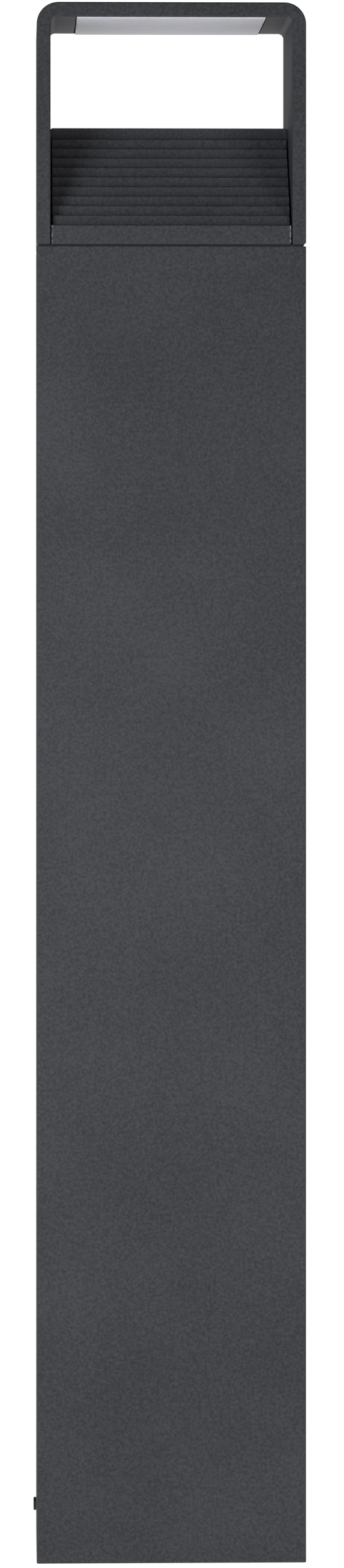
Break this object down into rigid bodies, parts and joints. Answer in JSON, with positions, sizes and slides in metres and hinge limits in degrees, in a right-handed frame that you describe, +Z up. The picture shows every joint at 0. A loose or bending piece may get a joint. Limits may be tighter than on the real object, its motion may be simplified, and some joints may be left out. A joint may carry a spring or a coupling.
{
  "type": "bollard light",
  "caption": "Rectangular post light: a portal-shaped head shines down from its top bar onto a two-sided stepped baffle, on a post screwed over an anchor base.",
  "frame": {"origin": "centre of the footprint, on the ground", "axes": "+Z up, X across the width, the front faces -Y; front and back are alike"},
  "size_m": [0.1764, 0.13, 1],
  "materials": {
    "powder_coat": "fine-textured anthracite powder coat on aluminium",
    "bare_aluminium": "satin",
    "zinc_steel": "zinc-plated sheet steel",
    "screw_steel": "stainless",
    "black_screw": "black oxide",
    "opal_cover": "satin opal acrylic",
    "silicone": "matte",
    "board_white": "white solder mask",
    "led_phosphor": "yellow phosphor",
    "white_plastic": "matte",
    "grey_plastic": "matte",
    "clip_plastic": "matte",
    "black_rubber": "matte",
    "black_plastic": "satin",
    "earth_sheath": "matte"
  },
  "bodies": {
    "root": {"post_tube": "powder_coat", "top_plate": "bare_aluminium", "top_plate_screws": "screw_steel", "head_gasket": "black_rubber", "head_frame": "powder_coat", "stepped_baffle": "powder_coat", "leg_screws": "screw_steel", "head_screws": "screw_steel", "led_board": "board_white", "led_chips": "led_phosphor", "led_board_screws": "screw_steel", "led_connector": "white_plastic", "diffuser": "opal_cover", "diffuser_seal": "silicone", "led_lead": "black_rubber", "lead_grommet": "black_rubber", "lead_clips": "black_plastic", "led_plug": "black_plastic", "led_socket": "black_plastic", "socket_lead": "black_rubber", "plug_clip": "clip_plastic", "anchor_base": "bare_aluminium", "side_screws": "black_screw", "gear_tray": "zinc_steel", "tray_screws": "screw_steel", "led_driver": "grey_plastic", "driver_screws": "screw_steel", "driver_lead": "black_rubber", "junction_box": "grey_plastic", "junction_lid": "grey_plastic", "lid_seal": "black_rubber", "lid_screws": "screw_steel", "box_screws": "screw_steel", "terminal_block": "white_plastic", "terminal_screws": "screw_steel", "supply_gland": "black_plastic", "gland_nut": "black_plastic", "gland_cap": "black_plastic", "link_gland": "black_rubber", "earth_grommet": "black_rubber", "earth_wire": "earth_sheath", "earth_lug": "bare_aluminium", "earth_screw": "screw_steel"}
  },
  "joints": []
}
